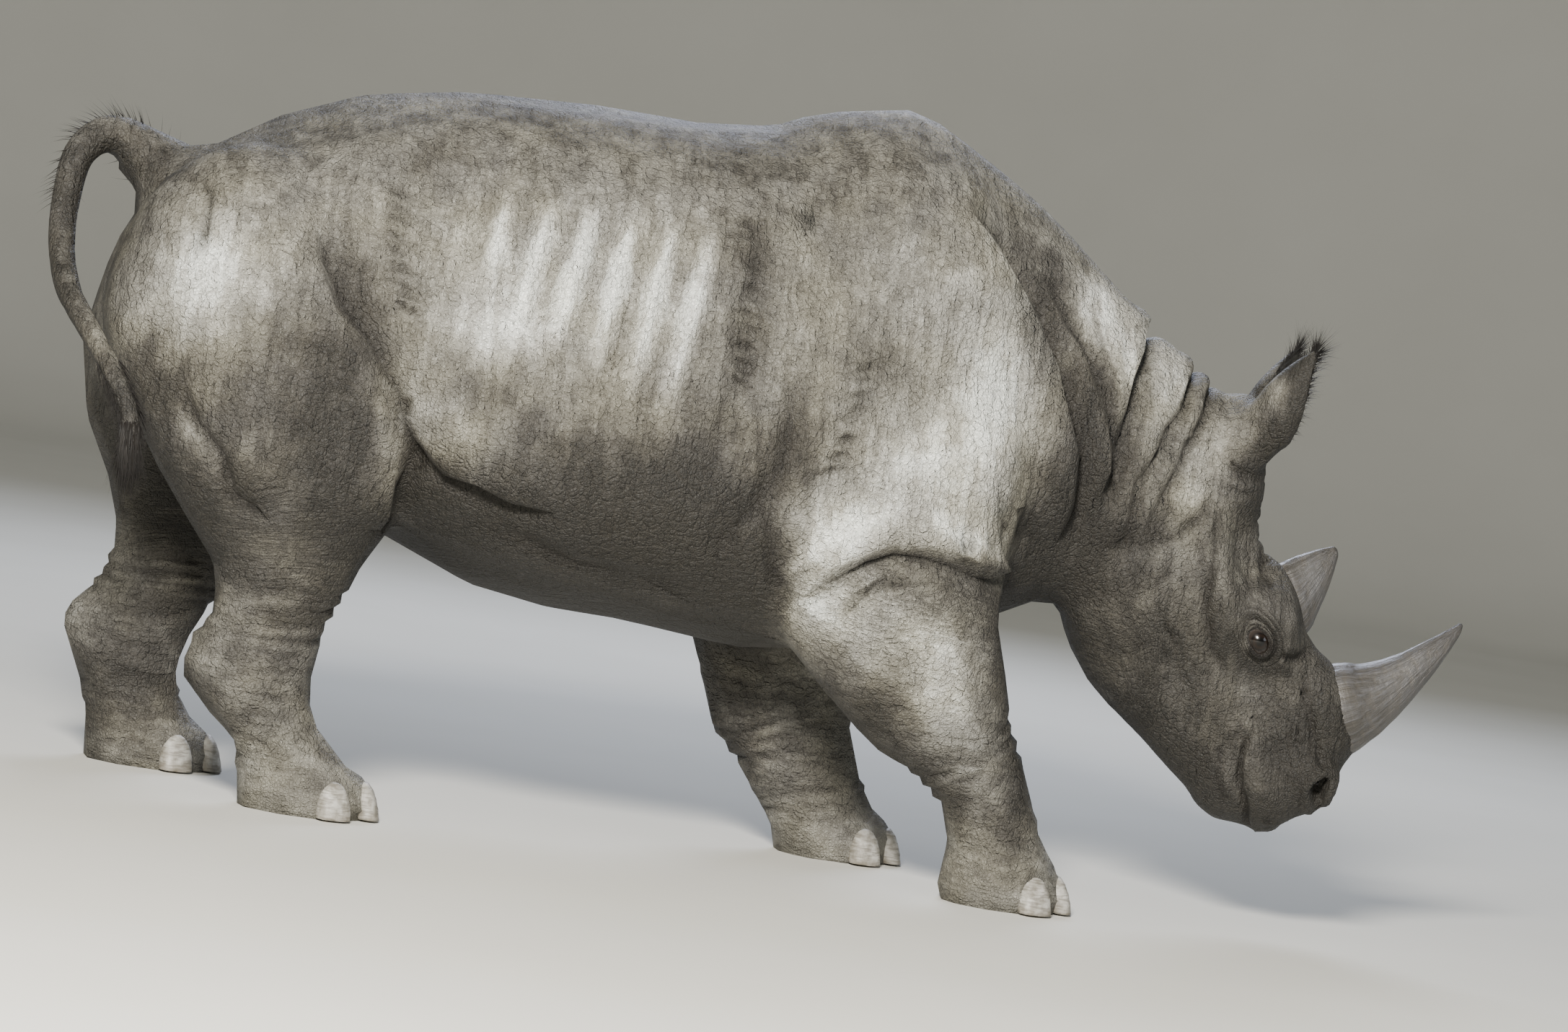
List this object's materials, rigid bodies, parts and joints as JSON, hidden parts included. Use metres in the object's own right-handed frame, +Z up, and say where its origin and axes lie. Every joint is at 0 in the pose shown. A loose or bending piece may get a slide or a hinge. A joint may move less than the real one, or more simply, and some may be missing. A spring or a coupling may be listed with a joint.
{
  "type": "life-size black rhinoceros figure",
  "caption": "Adult black rhinoceros in mid-stride with lowered head, curved horns and raised, curled tail, as a still life-size museum figure.",
  "frame": {"origin": "on the floor under the middle of the figure's bounding box", "axes": "+X from tail to horns, the way the animal faces; +Y to its left side; +Z up"},
  "size_m": [2.8463, 0.8633, 1.5014],
  "materials": {
    "hide": "dry, wrinkled, grey-brown",
    "horn": "fibrous keratin, worn towards the tip",
    "nail": "pale dull keratin",
    "eye": "wet, very dark brown",
    "bristle": "stiff dark bristle"
  },
  "bodies": {
    "root": {"ear_left": "hide", "ear_right": "hide", "eye_left": "eye", "eye_right": "eye", "forefoot_left": "hide", "forefoot_right": "hide", "foreleg_left_lower": "hide", "foreleg_left_upper": "hide", "foreleg_right_lower": "hide", "foreleg_right_upper": "hide", "head": "hide", "hindfoot_left": "hide", "hindfoot_right": "hide", "hindleg_left_lower": "hide", "hindleg_left_upper": "hide", "hindleg_right_lower": "hide", "hindleg_right_upper": "hide", "horn_front": "horn", "horn_rear": "horn", "lower_jaw": "hide", "nail_fore_left_inner": "nail", "nail_fore_left_middle": "nail", "nail_fore_left_outer": "nail", "nail_fore_right_inner": "nail", "nail_fore_right_middle": "nail", "nail_fore_right_outer": "nail", "nail_hind_left_inner": "nail", "nail_hind_left_middle": "nail", "nail_hind_left_outer": "nail", "nail_hind_right_inner": "nail", "nail_hind_right_middle": "nail", "nail_hind_right_outer": "nail", "neck": "hide", "tail_arch": "hide", "tail_bend": "hide", "tail_end": "hide", "tail_fall": "hide", "tail_root": "hide", "tail_swing": "hide", "tail_tuft": "bristle", "trunk": "hide"}
  },
  "joints": []
}
